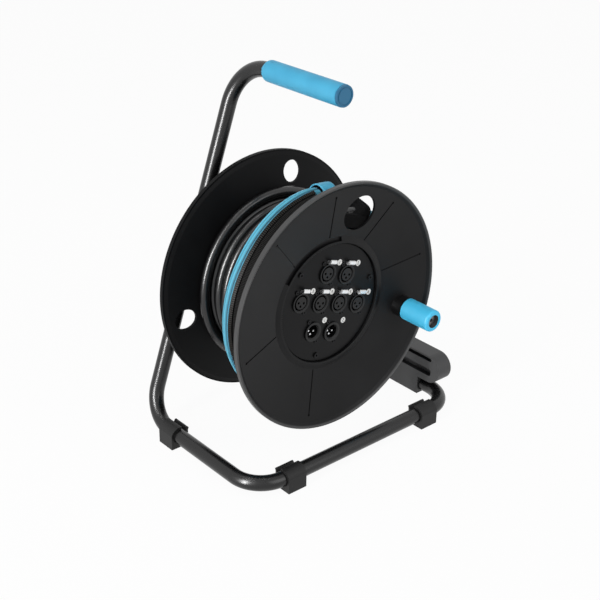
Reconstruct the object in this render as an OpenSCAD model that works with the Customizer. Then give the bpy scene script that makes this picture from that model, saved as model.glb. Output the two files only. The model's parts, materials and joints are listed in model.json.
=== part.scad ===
// Portable multicore drum: a bent-tube stand carries a turning drum with a
// panel of XLR sockets, a wound multicore and its zipped fan-out sleeve.
// The drum's axis runs along Y at x = 0, its front rim lies at y = 0 and the
// floor at z = 0; shared_frame() then moves the origin to the base's centre.

/* [Stand] */
// Outer diameter of the bent steel tube
tube_d = 19; // [17:0.5:21]
// Wall of the tube, which shows at its two open ends
tube_wall = 1.5; // [1:0.1:2.5]
// Height of the drum's axis above the floor
axis_h = 195; // [190:1:215]
// Height of the carry bar's centre above the floor
carry_h = 451.5; // [430:1:520]
// Gap between the floor and the underside of the base tubes
floor_gap = 6.2; // [4:0.2:8]
// Distance from the drum's axis to the left base tube
leg_left = 149; // [140:1:160]
// Distance from the drum's axis to the right base tube
leg_right = 180.5; // [176:0.5:190]
// Distance from the front rim forward to the front base tube
front_reach = 25; // [20:1:40]
// Distance from the rear flange back to the upright's centre
upright_gap = 41; // [38:1:50]
// Bend radius of the base's two front corners
base_bend_r = 40; // [34:1:46]
// Bend radius where the base turns up into the upright
rear_bend_r = 42; // [34:1:46]
// Bend radius where the upright turns into the carry bar
top_bend_r = 52; // [40:1:60]

/* [Carry grip] */
// Outer diameter of the carry grip
grip_d = 26; // [24:0.5:30]
// Length of the carry grip
grip_l = 132; // [120:1:145]
// Distance from the front rim back to the grip's front end
grip_front = 5; // [2:1:12]
// Thickness of the disc that closes the grip
cap_t = 2.5; // [2:0.5:4]

/* [Foot clips] */
// Length of a foot clip along its tube
clip_l = 27; // [18:1:28]
// Wall of a foot clip
clip_wall = 3; // [2.5:0.1:3.5]
// Height of the clip's free lip above the tube's centre
clip_lip = 8; // [8:1:13]
// Clearance between a clip and its tube
clip_play = 0.15; // [0.05:0.05:0.3]

/* [Drum] */
// Outer diameter of both flanges
flange_d = 310; // [306:1:314]
// Distance from the front rim's face to the rear rim's inner edge
drum_w = 143.5; // [140:0.5:150]
// Depth of each flange's rim
rim_depth = 6; // [5.5:0.5:8]
// Thickness of a flange's web
web_t = 3.2; // [2.8:0.1:4]
// Depth of a flange's dish at its inner edge
dish = 19.2; // [18:0.1:20]
// Wall of the barrel
barrel_wall = 3; // [2.5:0.1:4]
// Angle by which the drum rests turned clockwise
drum_turn = 17.3; // [0:0.1:45]
// Diameter of the hand hole through the front flange
hand_hole_d = 45; // [40:1:48]
// Distance from the axis to the hand hole's centre
hand_hole_r = 114.5; // [112:0.5:116]
// Diameter of each round hole in the rear flange
rear_hole_d = 27; // [20:1:32]
// Distance from the axis to each rear hole's centre
rear_hole_r = 129.5; // [124:0.5:132]
// Width of a radial groove in the front web
groove_w = 1.6; // [1:0.1:2.5]
// Depth of a radial groove
groove_depth = 0.8; // [0.4:0.1:1.2]

/* [Bearing] */
// Diameter of the axle where the drum turns on it
axle_d = 16; // [14:0.5:17]
// Radial running clearance of the axle in its bushes
run_play = 0.05; // [0.02:0.01:0.09]
// Wall of the bearing bushes
bush_wall = 3; // [2.5:0.1:3.5]
// Length of each bearing bush
bush_l = 12; // [10:1:16]
// Length of the rear flange's hub
hub_l = 45; // [40:1:50]
// Thickness of the bracket's arm
arm_t = 24; // [22:1:26]
// Width of the bracket's beam over the right base tube
beam_w = 23.5; // [23.5:0.5:27]
// Height of the beam
beam_h = 38.5; // [36:0.5:42]
// Height of the beam's underside above the floor
beam_z = 30; // [28:0.5:33]
// Reach of the beam's nose in front of the front rim
beam_nose = 10.5; // [8:0.5:14]
// Diameter of the two bolts that hold the upright to the bracket
upright_bolt_d = 6; // [5:0.5:8]

/* [Crank] */
// Outer diameter of the crank grip
crank_d = 28; // [24:0.5:30]
// Length of the crank grip
crank_l = 45.5; // [40:0.5:60]
// Distance from the drum's axis to the crank
crank_r = 118; // [112:0.5:122]
// Diameter of the crank's spindle
spindle_d = 10; // [8:0.5:12]

/* [Connectors] */
// Diameter of the connector panel
panel_d = 150; // [150:0.5:151]
// Thickness of the connector panel
panel_t = 2.5; // [2:0.1:3]
// Distance from the front rim back to the panel's face
panel_y = 21; // [20.5:0.1:21.5]
// Spacing of the connectors in a row
pitch_x = 31.6; // [30:0.1:32]
// Spacing of the rows
pitch_z = 36.5; // [35:0.1:37]
// Width of a connector's flange
plate_w = 26; // [25:0.1:27]
// Height of a connector's flange
plate_h = 31; // [30:0.1:32]
// Thickness of a connector's flange, which sits behind the panel
plate_t = 2.2; // [1.8:0.1:2.5]
// Diameter of a connector's round body
body_d = 24.6; // [24:0.1:24.6]
// Height by which a connector's body stands proud of the panel
body_proud = 2.2; // [1.8:0.1:2.5]
// Inside diameter of a female socket's shell
socket_d = 19.2; // [19:0.1:19.4]
// Outer diameter of a female socket's insert
insert_d = 15.8; // [15.4:0.1:15.9]
// Inside diameter of a male connector's shell
male_d = 16.2; // [16:0.1:16.6]
// Diameter of a male contact pin
pin_d = 2.4; // [2.2:0.1:2.5]
// Distance from a connector's face back to its pins' tips
pin_recess = 4.6; // [4.5:0.1:6]
// Travel of a push tab
tab_travel = 1.8; // [1.2:0.1:1.9]

/* [Winding] */
// Outer diameter of the multicore
cable_d = 12.2; // [11.8:0.1:12.2]
// Spacing of the turns across the drum
turn_pitch = 12.75; // [12.7:0.05:12.8]
// Depth of the layer under the outer one
core_depth = 9.1; // [8.6:0.1:9.2]
// Diameter of the fan-out sleeve
sleeve_d = 33; // [30:0.5:33]
// Width of the strap round the sleeve's free end
strap_w = 20; // [15:1:25]

/* [Hidden] */
$fn = 64;

// Clearance between pieces that move past each other
gap = 0.3;
// Clearance between pieces that are fitted together
fit = 0.1;

// Stand: the tube's corner points, in the order in which it is bent
tube_r = tube_d / 2;
base_z = floor_gap + tube_r;
upright_y = drum_w + rim_depth + upright_gap;
front_y = -front_reach;
leg_end = upright_y - 8;
tube_points = [
    [0, grip_front + cap_t, carry_h],
    [0, upright_y, carry_h],
    [-leg_left, upright_y, base_z],
    [-leg_left, front_y, base_z],
    [leg_right, front_y, base_z],
    [leg_right, leg_end, base_z]];
tube_radii = [0, top_bend_r, rear_bend_r, base_bend_r, base_bend_r, 0];
bore_depth = 25;
// Length by which a straight laps into the bend beside it
lap = 0.3;
lean_x = leg_left / (carry_h - base_z);
upright_dir = [lean_x, 0, 1] / norm([lean_x, 0, 1]);

// Drum: radii and stations along its axis
flange_r = flange_d / 2;
rim_t = 2.6;
rim_in = flange_r - rim_t;
panel_r = panel_d / 2;
barrel_r = panel_r + 5;
barrel_in = barrel_r - barrel_wall;
web_in = barrel_r + 4.3;
web_out = flange_r - 15;
web_top = 6.5;
turn_r = rim_in - 4;
turn_y = 4.6;
slope = (dish - web_top) / (web_out - web_in);
seat_y = panel_y + panel_t;
seat_in = panel_r - 12.5;
lip_in = panel_r + 0.5;
lip_out = panel_r + 3.3;
lip_y = panel_y - 3.5;
ditch_floor = seat_y + 2.5;
ditch_from = 97;
ditch_turn = 67;
hub_face = ditch_floor + web_t;
back_y = drum_w + rim_depth;
// Stations of the rear flange, whose dish mirrors the front one
rear_out = back_y - dish;
rear_face = rear_out - web_t;
barrel_ring = barrel_in - 7;
ring_in = barrel_ring - 6;
end_t = 4;
hand_hole_at = 89;
groove_angles = [30, 70, 110, 149, 209, 270];
groove_in = web_in + 0.8;
groove_out = web_out - 0.5;

// Bearing: the axle's shaft runs from the bolt's washer to its collar
axle_r = axle_d / 2;
bush_r = axle_r + run_play + bush_wall;
bush_flange_t = 1.5;
bush_flange_r = bush_r + 3;
hub_r = bush_r + fit + 7;
hub_front = back_y + 1 - hub_l;
hub_back = back_y + 1;
washer_t = 2;
washer_r = bush_flange_r + 1;
washer_y = hub_back + bush_flange_t + gap;
collar_t = 2.7;
arm_y = washer_y + washer_t + collar_t;
arm_back = arm_y + arm_t;
shank_r = 6;
shaft_front = hub_front - bush_flange_t - gap - washer_t;
bolt_r = 4;
beam_x0 = leg_right - beam_w / 2;
beam_x1 = leg_right + beam_w / 2;
beam_top = beam_z + beam_h;
nose_r = beam_h / 2;
skirt_y = 26;
skirt_z = base_z - tube_r - 2;
foot_y = 150;
beam_back = upright_y + 9;
boss_r = 26;
arm_root = [beam_x0 + 4, beam_z + nose_r];
arm_dir = ([0, axis_h] - arm_root) / norm([0, axis_h] - arm_root);
arm_side = [-arm_dir[1], arm_dir[0]];
// The saddle sits on the upright, a little above the axis
saddle_z = axis_h + 20;
saddle_at = [-lean_x * (carry_h - saddle_z), saddle_z];
saddle_len = 50;
saddle_half = tube_r + 3.5;
saddle_back = upright_y - 1;
bolt_v = 14;
bolt_head = 3.2;
stand_back = upright_y + tube_r + bolt_head;

// Crank
spindle_r = spindle_d / 2;
crank_boss_r = crank_d / 2 - 0.5;
crank_y = -gap;
crank_seat = web_y(crank_r - crank_boss_r) + web_t;
recess_r = 8.5;
recess_depth = 8;

// Connectors: [column, row] of each, in steps of the pitch from the axis
female_at = [[-0.5, 1], [0.5, 1], [-1.5, 0], [-0.5, 0], [0.5, 0], [1.5, 0]];
male_at = [[-0.5, -1], [0.5, -1]];
all_at = concat(female_at, male_at);
face_y = panel_y - body_proud;
plate_back = seat_y + plate_t;
socket_floor = face_y + 16;
body_back = face_y + 26;
insert_in = 0.6;
contact_y = face_y + 4.6;
mouth = 1;
male_mouth = 1.4;
contact_ring = 4.1;
contact_spots = [[-1, 0], [1, 0], [0, -1]];
plate_screw = [9.5, 12];
screw_ring = panel_r - 8;
tab_w = 9.6;
tab_z = body_d / 2 + gap;
tab_head_z = [plate_h / 2 - 1.2, plate_h / 2 + 2.9];
tab_proud = 4.4;
tab_head_t = 2.2;
tab_stem_t = 3.4;

// Winding: the outer layer's angle grows as it winds clockwise. Each turn
// keeps its place at the left and steps over to the next on the far side.
core_r = barrel_r + core_depth;
cable_r = cable_d / 2;
layer_r = core_r + gap + cable_r;
top_r = layer_r + turn_pitch;
wind_y0 = rear_face + (layer_r - web_in) * slope - cable_r - 0.55;
wind_from = -250;
climb_from = 40;
climb_turn = 35;
step_from = 290;
step_turn = 110;
layer_turns = 7;
layer_end = 2790;
sleeve_start = 2818;
sleeve_end = 3163;
sleeve_r = sleeve_d / 2;
sleeve_y = [34, 48];
sleeve_in = 8;
sleeve_settle = 20;
sleeve_ring = layer_r + cable_r + sleeve_r + 1.4;
mouth_r = sleeve_r * 0.84;
seam = 125;
strap_r = mouth_r + 1.2;
strap_at = sleeve_end - 7;
gland_angle = 200;
gland_y = 100;
loom_gap = 12;

// The origin's place: the middle of the whole part's outline
x_mid = (beam_x1 - (leg_left + tube_r + clip_wall)) / 2;
y_mid = (stand_back + crank_y - crank_l) / 2;

function unit(v) = v / norm(v);
function mix(a, b, t) = a + (b - a) * t;
function smooth(t) = let (u = max(0, min(1, t))) u * u * (3 - 2 * u);

module shared_frame() { translate([-x_mid, -y_mid, 0]) children(); }
// Turns a profile's own Z to the drum's axis, so that z becomes y
module about_y() { rotate([-90, 0, 0]) children(); }
module drum() {
    shared_frame() translate([0, 0, axis_h]) rotate([0, drum_turn, 0]) children();
}
// Places children at an angle round the axis: local x points outwards
module at_angle(a, r) { rotate([0, -a, 0]) translate([r, 0, 0]) children(); }
module rod_y(y0, y1, r, sides = $fn) {
    translate([0, y0, 0]) about_y() cylinder(h = y1 - y0, r = r, $fn = sides);
}
// Moves the local axes onto three directions at a point
module onto(ex, ey, ez, at) {
    multmatrix([[ex[0], ey[0], ez[0], at[0]],
                [ex[1], ey[1], ez[1], at[1]],
                [ex[2], ey[2], ez[2], at[2]],
                [0, 0, 0, 1]]) children();
}

// ---------------------------------------------------------------- stand

// Distance that the bend at point i takes off each straight beside it
function setback(i) = tube_radii[i] == 0 ? 0 :
    tube_radii[i] * tan(acos(unit(tube_points[i] - tube_points[i - 1])
        * unit(tube_points[i + 1] - tube_points[i])) / 2);

module bar(a, b, r) {
    dir = unit(b - a);
    side = unit(cross(dir, abs(dir[2]) < 0.9 ? [0, 0, 1] : [1, 0, 0]));
    onto(side, cross(dir, side), dir, a) cylinder(h = norm(b - a), r = r);
}

module bend(i, r) {
    before = unit(tube_points[i] - tube_points[i - 1]);
    after = unit(tube_points[i + 1] - tube_points[i]);
    inward = unit(after - before * (before * after));
    start = tube_points[i] - before * setback(i);
    centre = start + inward * tube_radii[i];
    onto(-inward, before, cross(-inward, before), centre)
        rotate_extrude(angle = acos(before * after))
            translate([tube_radii[i], 0]) circle(r);
}

module frame_tube() {
    shared_frame() color("#1b1b1c") difference() {
        union() {
            for (i = [0 : 4]) {
                dir = unit(tube_points[i + 1] - tube_points[i]);
                bar(tube_points[i] + dir * (setback(i) - (i > 0 ? lap : 0)),
                    tube_points[i + 1] - dir * (setback(i + 1) - (i < 4 ? lap : 0)),
                    tube_r - lap / 30);
            }
            for (i = [1 : 4]) bend(i, tube_r);
        }
        translate([0, 0, carry_h])
            rod_y(tube_points[0][1] - 1, tube_points[0][1] + bore_depth, tube_r - tube_wall);
        translate([leg_right, 0, base_z])
            rod_y(leg_end - bore_depth, leg_end + 1, tube_r - tube_wall);
        at_saddle() bolt_holes(upright_y - tube_r - 1, upright_y + tube_r + 1);
    }
}

module carry_grip() {
    shoulder = 6;
    wall_in = tube_r + fit;
    grip_r = grip_d / 2;
    shared_frame() color("#58bfee") translate([0, grip_front + cap_t, carry_h]) about_y()
        rotate_extrude() union() {
            translate([wall_in, 0]) square([grip_r - wall_in, grip_l - cap_t - shoulder]);
            translate([wall_in, 0]) square([grip_r - shoulder - wall_in + 3, grip_l - cap_t]);
            intersection() {
                translate([grip_r - shoulder, grip_l - cap_t - shoulder]) circle(shoulder);
                translate([wall_in, 0]) square([grip_r, grip_l]);
            }
        }
}

module grip_end_cap() {
    shared_frame() color("#2f86ad") translate([0, 0, carry_h]) difference() {
        union() {
            rod_y(grip_front, grip_front + cap_t, grip_d / 2 - 0.4);
            rod_y(grip_front + cap_t, grip_front + bore_depth - 5, tube_r - tube_wall - fit);
        }
        difference() {
            rod_y(grip_front - 1, grip_front + 0.6, grip_d / 2 - 2.5);
            rod_y(grip_front - 2, grip_front + 1, grip_d / 2 - 4);
        }
    }
}

// Clip's section: x points to the stand's outside and y up
module clip_section() {
    outer = tube_r + clip_wall;
    bore_r = tube_r + clip_play;
    crown_r = outer + 0.5;
    crown_from = acos(outer / crown_r);
    difference() {
        polygon(concat(
            [[-outer, -base_z], [outer, -base_z]],
            [for (i = [0 : 12]) let (t = mix(crown_from, 104, i / 12)) crown_r * [cos(t), sin(t)]],
            [[-1, bore_r / 2], [0.5 - bore_r, 2], [0.5 - bore_r, clip_lip - 4],
             [-outer + 0.6, clip_lip], [-outer - 1.2, clip_lip], [-outer, clip_lip - 3]]));
        circle(bore_r);
    }
}

// A clip with its length along local z, centred on the tube
module foot_clip() { color("#141414") linear_extrude(clip_l) clip_section(); }

module foot_rear_left() {
    shared_frame() onto([-1, 0, 0], [0, 0, 1], [0, 1, 0],
        [-leg_left, upright_y - rear_bend_r - clip_l + 4, base_z]) foot_clip();
}

module foot_front_left() {
    shared_frame() onto([0, -1, 0], [0, 0, 1], [-1, 0, 0],
        [-leg_left + base_bend_r + clip_l, front_y, base_z]) foot_clip();
}

module foot_front_right() {
    shared_frame() onto([0, -1, 0], [0, 0, 1], [-1, 0, 0],
        [leg_right - base_bend_r, front_y, base_z]) foot_clip();
}

// ------------------------------------------------------- bearing bracket

// Side outline of the beam, in the plane of y and z
module beam_outline() {
    translate([-beam_nose + nose_r, beam_z + nose_r]) circle(nose_r);
    translate([-beam_nose + nose_r, beam_z]) square([beam_back + beam_nose - nose_r, beam_h]);
    translate([skirt_y, skirt_z]) square([beam_back - skirt_y, beam_z - skirt_z + 1]);
    translate([foot_y, 0]) square([beam_back - foot_y, skirt_z + 1]);
}

// One of the beam's two side recesses, between its rib and one edge
module beam_pocket(z0, z1, round_r) {
    front = -beam_nose + 14;
    translate([front + round_r, z0]) square([foot_y - front - round_r, z1 - z0]);
    translate([front, z0 + round_r]) square([round_r + 1, z1 - z0 - round_r * 2]);
    for (z = [z0 + round_r, z1 - round_r]) translate([front + round_r, z]) circle(round_r);
}

// Extrudes an outline of y and z along x, from x0 over a width
module along_x(x0, width) {
    onto([0, 1, 0], [0, 0, 1], [1, 0, 0], [x0, 0, 0]) linear_extrude(width) children();
}

// Extrudes an outline of x and z along y
module along_y(y0, width) {
    onto([1, 0, 0], [0, 0, 1], [0, -1, 0], [0, y0 + width, 0]) linear_extrude(width) children();
}

function arm_edge(s, side) = [0, axis_h] - arm_dir * s + arm_side * side;
arm_len = norm([0, axis_h] - arm_root);
arm_half = [23, nose_r - 1];
function arm_at(t, side, inset = 0) =
    arm_edge(t * arm_len, side * (mix(arm_half[0], arm_half[1], t) - inset));

// The upper arm runs from the hub to the saddle
upper_len = norm(saddle_at - [0, axis_h]);
upper_dir = (saddle_at - [0, axis_h]) / upper_len;
upper_side = [-upper_dir[1], upper_dir[0]];
function upper_at(t, side, inset = 0) = [0, axis_h] + upper_dir * t * upper_len
    + upper_side * side * (arm_half[0] - 1 - inset);

module arm_outline() {
    polygon([arm_at(0, 1), arm_at(1, 1), arm_at(1, -1), arm_at(0, -1)]);
    translate([0, axis_h]) circle(boss_r);
    polygon([upper_at(0, 1), upper_at(0, -1), upper_at(1, -1), upper_at(1, 1)]);
}

// The arm's moulded recesses, with a rib left between each two
module arm_pockets() {
    stops = [0.16, 0.36, 0.58, 0.8];
    rib = 4;
    for (i = [0 : 2]) polygon([
        arm_at(stops[i], 1, rib), arm_at(stops[i + 1] - rib / arm_len, 1, rib),
        arm_at(stops[i + 1] - rib / arm_len, -1, rib), arm_at(stops[i], -1, rib)]);
    polygon([upper_at(0.36, 1, rib), upper_at(0.74, 1, rib),
        upper_at(0.74, -1, rib), upper_at(0.36, -1, rib)]);
}

// Local z along the upright, x across it and y along the drum's axis
module at_saddle() {
    onto(cross([0, 1, 0], upright_dir), [0, 1, 0], upright_dir,
        [saddle_at[0], 0, saddle_at[1]]) children();
}

module bolt_holes(y0, y1) {
    for (v = [-bolt_v, bolt_v]) translate([0, 0, v]) rod_y(y0, y1, upright_bolt_d / 2 + fit);
}

module upright_bore(clear) {
    translate([0, upright_y, -saddle_len]) cylinder(h = saddle_len * 2, r = tube_r + clear);
}

module bearing_bracket() {
    rib_z = beam_top - 18.5;
    shared_frame() color("#232323") difference() {
        union() {
            along_x(beam_x0, beam_w) beam_outline();
            along_y(arm_y, arm_t) arm_outline();
            at_saddle() translate([-saddle_half, arm_y, -saddle_len / 2])
                cube([saddle_half * 2, saddle_back - arm_y, saddle_len]);
        }
        along_x(beam_x0 - 1, 8) union() {
            beam_pocket(beam_top - 7.5, beam_top - 2.5, 2.2);
            beam_pocket(beam_z + 9.5, rib_z, 4);
        }
        along_y(arm_y + 4, arm_t) arm_pockets();
        translate([0, 0, axis_h]) rod_y(arm_y - 1, arm_back + 1, shank_r + fit);
        translate([leg_right, 0, base_z]) rod_y(skirt_y - 1, leg_end + 0.2, tube_r + fit);
        leg_screw_shapes(fit);
        at_saddle() {
            upright_bore(fit);
            bolt_holes(arm_y + 6, upright_y);
        }
    }
}

// Two bolts through the upright, with heads that fit its round back
module upright_bolts() {
    shared_frame() color("#8d9094") at_saddle() for (v = [-bolt_v, bolt_v])
        translate([0, 0, v]) union() {
            rod_y(arm_y + 6.2, upright_y + tube_r + 1, upright_bolt_d / 2);
            difference() {
                rod_y(upright_y + tube_r - 2, stand_back, upright_bolt_d * 0.8);
                translate([0, 0, -v]) upright_bore(fit / 2);
                rod_y(stand_back - 1.4, stand_back + 1, upright_bolt_d * 0.4, 6);
            }
        }
}

// Two screws from the right that hold the base tube in the bracket
module leg_screw_shapes(extra = 0) {
    for (y = [70, 130]) translate([0, y, base_z]) rotate([0, 90, 0]) {
        translate([0, 0, leg_right + tube_r - 0.5])
            cylinder(h = beam_w / 2 - tube_r + 1, r = 2 + extra);
        translate([0, 0, beam_x1 - 1.2 - extra]) cylinder(h = 1.2 + extra, r = 4 + extra);
    }
}

module leg_screws() {
    shared_frame() color("#8d9094") difference() {
        leg_screw_shapes();
        for (y = [70, 130]) translate([beam_x1 - 0.8, y, base_z]) rotate([0, 90, 0])
            cylinder(h = 2, r = 1.6, $fn = 6);
        translate([leg_right, 0, base_z]) rod_y(0, leg_end, tube_r);
    }
}

// --------------------------------------------------------------- bearing

module axle() {
    shared_frame() color("#b9bcc0") translate([0, 0, axis_h]) difference() {
        union() {
            rod_y(shaft_front + washer_t, arm_y - collar_t, axle_r);
            rod_y(arm_y - collar_t, arm_y, axle_r + 5);
            rod_y(arm_y, arm_back + 13, shank_r);
        }
        rod_y(shaft_front - 1, shaft_front + 24, bolt_r + fit / 2);
    }
}

module ring_y(y0, y1, r_in, r_out) {
    translate([0, y0, 0]) about_y() difference() {
        cylinder(h = y1 - y0, r = r_out);
        translate([0, 0, -1]) cylinder(h = y1 - y0 + 2, r = r_in);
    }
}

module thrust_washer() {
    shared_frame() color("#a9acb0") translate([0, 0, axis_h])
        ring_y(washer_y, washer_y + washer_t, axle_r + fit, washer_r);
}

module end_washer() {
    shared_frame() color("#a9acb0") translate([0, 0, axis_h])
        ring_y(shaft_front, shaft_front + washer_t, bolt_r + fit, washer_r);
}

module axle_bolt() {
    shared_frame() color("#9a9da1") translate([0, 0, axis_h]) union() {
        rod_y(shaft_front - 5.3, shaft_front, 7.5, 6);
        rod_y(shaft_front, shaft_front + 22, bolt_r);
    }
}

module axle_nut() {
    shared_frame() color("#9a9da1") translate([0, 0, axis_h]) difference() {
        union() {
            rod_y(arm_back, arm_back + 2, 12);
            rod_y(arm_back + 2, arm_back + 12, 10.4, 6);
        }
        rod_y(arm_back - 1, arm_back + 14, shank_r + fit / 2);
    }
}

module bush(y_flange, y_end) {
    color("#e4e2da") translate([0, min(y_flange, y_end), 0]) about_y() difference() {
        union() {
            cylinder(h = abs(y_end - y_flange), r = bush_r);
            translate([0, 0, y_flange < y_end ? 0 : y_flange - y_end - bush_flange_t])
                cylinder(h = bush_flange_t, r = bush_flange_r);
        }
        translate([0, 0, -1])
            cylinder(h = abs(y_end - y_flange) + 2, r = axle_r + run_play);
    }
}

module bush_front() { drum() bush(hub_front - bush_flange_t, hub_front + bush_l); }
module bush_rear() { drum() bush(hub_back + bush_flange_t, hub_back - bush_l); }

// ------------------------------------------------------------------ drum

// Depth of a flange's dished face at a radius
function web_y(r) = web_top + (web_out - r) * slope;

module front_profile() {
    polygon([
        [seat_in, seat_y], [lip_in, seat_y], [lip_in, lip_y + 0.5], [lip_in + 0.5, lip_y],
        [lip_out, lip_y], [web_in, web_y(web_in)],
        [web_out, web_y(web_out)], [turn_r, turn_y], [rim_in, 0.8], [rim_in + 0.8, 0],
        [flange_r - 0.8, 0], [flange_r, 0.8], [flange_r, rim_depth], [rim_in + 0.4, rim_depth],
        [turn_r, turn_y + web_t], [web_out, web_y(web_out) + web_t],
        [web_in + 1, web_y(web_in + 1) + web_t], [web_in + 1, hub_face], [seat_in, hub_face]]);
}

module grooves() {
    tilt = atan(slope);
    run = (groove_out - groove_in) / cos(tilt);
    for (a = groove_angles) rotate([0, -a, 0])
        translate([groove_in, web_y(groove_in), 0]) rotate([0, 0, -tilt]) {
            translate([0, -1, -groove_w / 2]) cube([run, 1 + groove_depth, groove_w]);
            translate([run, 0, 0]) rod_y(-1, groove_depth * 1.5, groove_w);
        }
}

module front_flange() {
    drum() color("#262627") difference() {
        union() {
            about_y() rotate_extrude($fn = 128) front_profile();
            at_angle(0, crank_r) rod_y(0, crank_seat, crank_boss_r);
        }
        at_angle(hand_hole_at, hand_hole_r) rod_y(-1, 30, hand_hole_d / 2);
        at_angle(0, crank_r) rod_y(-1, 30, spindle_r + fit);
        rotate([0, -ditch_from - ditch_turn, 0]) about_y()
            rotate_extrude(angle = ditch_turn, $fn = 128)
                translate([lip_out + 0.2, lip_y - 1])
                    square([web_in - lip_out - 0.5, 4.5]);
        grooves();
        for (a = [30, 150, 270]) at_angle(a, screw_ring) rod_y(0, hub_face + 1, 1.9);
        for (a = [0 : 60 : 300]) at_angle(a, barrel_ring) {
            rod_y(0, hub_face + 1, 2.1);
            rod_y(0, seat_y + 2.2, 4);
        }
    }
}

module core_barrel() {
    drum() color("#202021") difference() {
        about_y() rotate_extrude() union() {
            translate([barrel_in, hub_face]) square([barrel_wall, rear_face - hub_face]);
            for (y = [hub_face, rear_face - end_t])
                translate([ring_in, y]) square([barrel_in + 1 - ring_in, end_t]);
        }
        for (a = [0 : 60 : 300]) at_angle(a, barrel_ring) {
            rod_y(hub_face - 1, hub_face + end_t + 1, 1.8);
            rod_y(rear_face - end_t - 1, rear_face + 1, 1.8);
        }
        at_angle(gland_angle, 0) translate([ring_in, gland_y, 0]) rotate([0, 90, 0])
            cylinder(h = 30, r = 8 + fit);
    }
}

// Section of the rear flange, a mirror of the front one's web and rim
module rear_profile() {
    polygon([
        [hub_r - 3, rear_face], [web_in, rear_face],
        [web_out, back_y - web_y(web_out) - web_t], [turn_r, back_y - turn_y - web_t],
        [rim_in + 0.4, back_y - rim_depth], [flange_r, back_y - rim_depth],
        [flange_r, back_y - 0.8], [flange_r - 0.8, back_y], [rim_in + 0.8, back_y],
        [rim_in, back_y - 0.8], [turn_r, back_y - turn_y],
        [web_out, back_y - web_y(web_out)], [web_in, rear_out], [hub_r - 3, rear_out]]);
}

// A rib on the back of the rear flange, from the hub out to a radius
module rear_rib(r_end) {
    translate([0, 0, -1.5]) linear_extrude(3) intersection() {
        polygon([[hub_r - 1, rear_out - 1], [web_in, rear_out - 1],
            [web_out, back_y - web_y(web_out) - 1], [turn_r, back_y - turn_y - 1],
            [rim_in + 0.4, back_y - 2], [rim_in + 0.4, back_y - 0.4],
            [hub_r - 1, back_y - 0.4]]);
        translate([0, rear_face]) square([r_end, back_y - rear_face]);
    }
}

module rear_flange() {
    drum() color("#222223") difference() {
        union() {
            about_y() rotate_extrude($fn = 128) rear_profile();
            rod_y(hub_front, hub_back, hub_r);
            rod_y(rear_face, rear_out + 3, hub_r + 6);
            for (a = [30 : 120 : 270]) rotate([0, -a, 0]) rear_rib(rim_in + 0.4);
            for (a = [90 : 120 : 330])
                rotate([0, -a, 0]) rear_rib(rear_hole_r - rear_hole_d / 2 - 4);
        }
        rod_y(hub_front - 1, hub_back + 1, bush_r + fit / 2);
        for (a = [90, 210, 330]) at_angle(a, rear_hole_r)
            rod_y(rear_face, back_y + 1, rear_hole_d / 2);
        for (a = [0 : 60 : 300]) at_angle(a, barrel_ring) rod_y(rear_face - 1, rear_out + 1, 2.1);
    }
}

// A pan-head screw: head from y0, shank on to y1
module pan_screw(y0, head_t, y1, head_r, shank) {
    way = y1 > y0 ? 1 : -1;
    color("#2b2b2c") difference() {
        union() {
            rod_y(min(y0, y0 + way * head_t), max(y0, y0 + way * head_t), head_r);
            rod_y(min(y0 + way * head_t, y1), max(y0 + way * head_t, y1), shank);
        }
        rod_y(min(y0 - way, y0 + way * head_t * 0.55),
              max(y0 - way, y0 + way * head_t * 0.55), head_r * 0.45, 6);
    }
}

module front_barrel_screws() {
    drum() for (a = [0 : 60 : 300]) at_angle(a, barrel_ring)
        pan_screw(seat_y + 0.2, 2, hub_face + end_t - 0.2, 3.6, 1.75);
}

module rear_barrel_screws() {
    drum() for (a = [0 : 60 : 300]) at_angle(a, barrel_ring)
        pan_screw(rear_out + 2, 2, rear_face - end_t + 0.2, 3.6, 1.75);
}

// ------------------------------------------------------------ connectors

module at_connector(place) {
    translate([place[0] * pitch_x, 0, place[1] * pitch_z]) children();
}

module connector_panel() {
    drum() color("#1a1a1b") difference() {
        about_y() rotate_extrude($fn = 128) polygon([
            [0, panel_y], [panel_r - 0.8, panel_y], [panel_r, panel_y + 0.8],
            [panel_r, seat_y], [0, seat_y]]);
        for (p = all_at) at_connector(p) {
            rod_y(panel_y - 1, seat_y + 1, body_d / 2 + 0.2);
            for (s = [-1, 1]) translate([-s * plate_screw[0], 0, s * plate_screw[1]])
                rod_y(panel_y - 1, seat_y + 1, 1.6);
        }
        for (p = female_at) at_connector(p)
            translate([-tab_w / 2 - gap, panel_y - 1, 0])
                cube([tab_w + gap * 2, panel_t + 2, tab_z + tab_stem_t + gap]);
        for (a = [30, 150, 270]) at_angle(a, screw_ring) rod_y(panel_y - 1, seat_y + 1, 2.2);
    }
}

module panel_screws() {
    drum() for (a = [30, 150, 270]) at_angle(a, screw_ring)
        pan_screw(panel_y - 1.9, 1.9, hub_face - 0.5, 3.3, 1.8);
}

module connector_screws() {
    drum() for (p = all_at, s = [-1, 1]) at_connector(p)
        translate([-s * plate_screw[0], 0, s * plate_screw[1]])
            pan_screw(panel_y - 1.4, 1.4, plate_back + 1.3, 2.6, 1.45);
}

// Round body and rounded flange behind the panel that every shell has
module shell_blank() {
    corner = 3;
    w = plate_w / 2 - corner;
    h = plate_h / 2 - corner;
    along_y(seat_y, plate_t) union() {
        square([w * 2, plate_h], center = true);
        square([plate_w, h * 2], center = true);
        for (x = [-w, w], z = [-h, h]) translate([x, z]) circle(corner);
    }
    rod_y(face_y, body_back, body_d / 2);
}

module shell_screw_holes() {
    for (s = [-1, 1]) translate([-s * plate_screw[0], 0, s * plate_screw[1]])
        rod_y(seat_y - 1, plate_back + 1, 1.6);
}

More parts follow.
